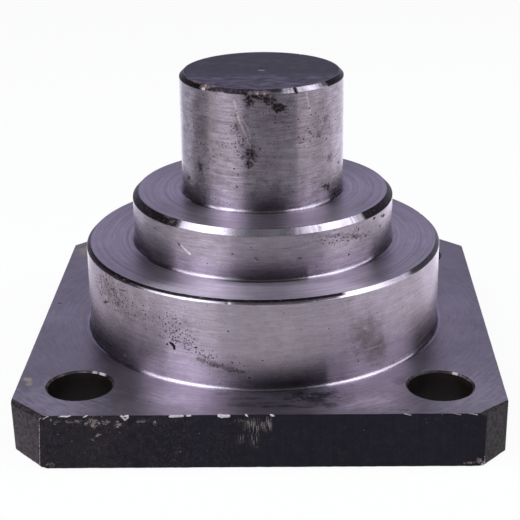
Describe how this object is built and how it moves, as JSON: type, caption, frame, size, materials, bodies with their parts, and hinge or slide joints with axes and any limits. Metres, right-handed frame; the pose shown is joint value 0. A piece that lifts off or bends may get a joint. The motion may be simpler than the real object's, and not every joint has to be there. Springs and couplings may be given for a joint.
{
  "type": "flanged bearing pin",
  "caption": "Flanged steel pivot pin: a bolt-down square plate with clipped corners carries a stepped spigot, a shoulder and a plain cylindrical bearing journal.",
  "frame": {"origin": "centre of the plate's underside, on the turned axis", "axes": "+Z along the turned axis, from the plate towards the free end of the journal; +X and +Y along the plate's sides, with the front of the plate towards -Y"},
  "size_m": [0.127, 0.127, 0.0875],
  "materials": {
    "steel": "turned steel, lightly tarnished and scratched, with dark scale left on the edges of the plate"
  },
  "bodies": {
    "root": {"bearing_pin": "steel"}
  },
  "joints": []
}
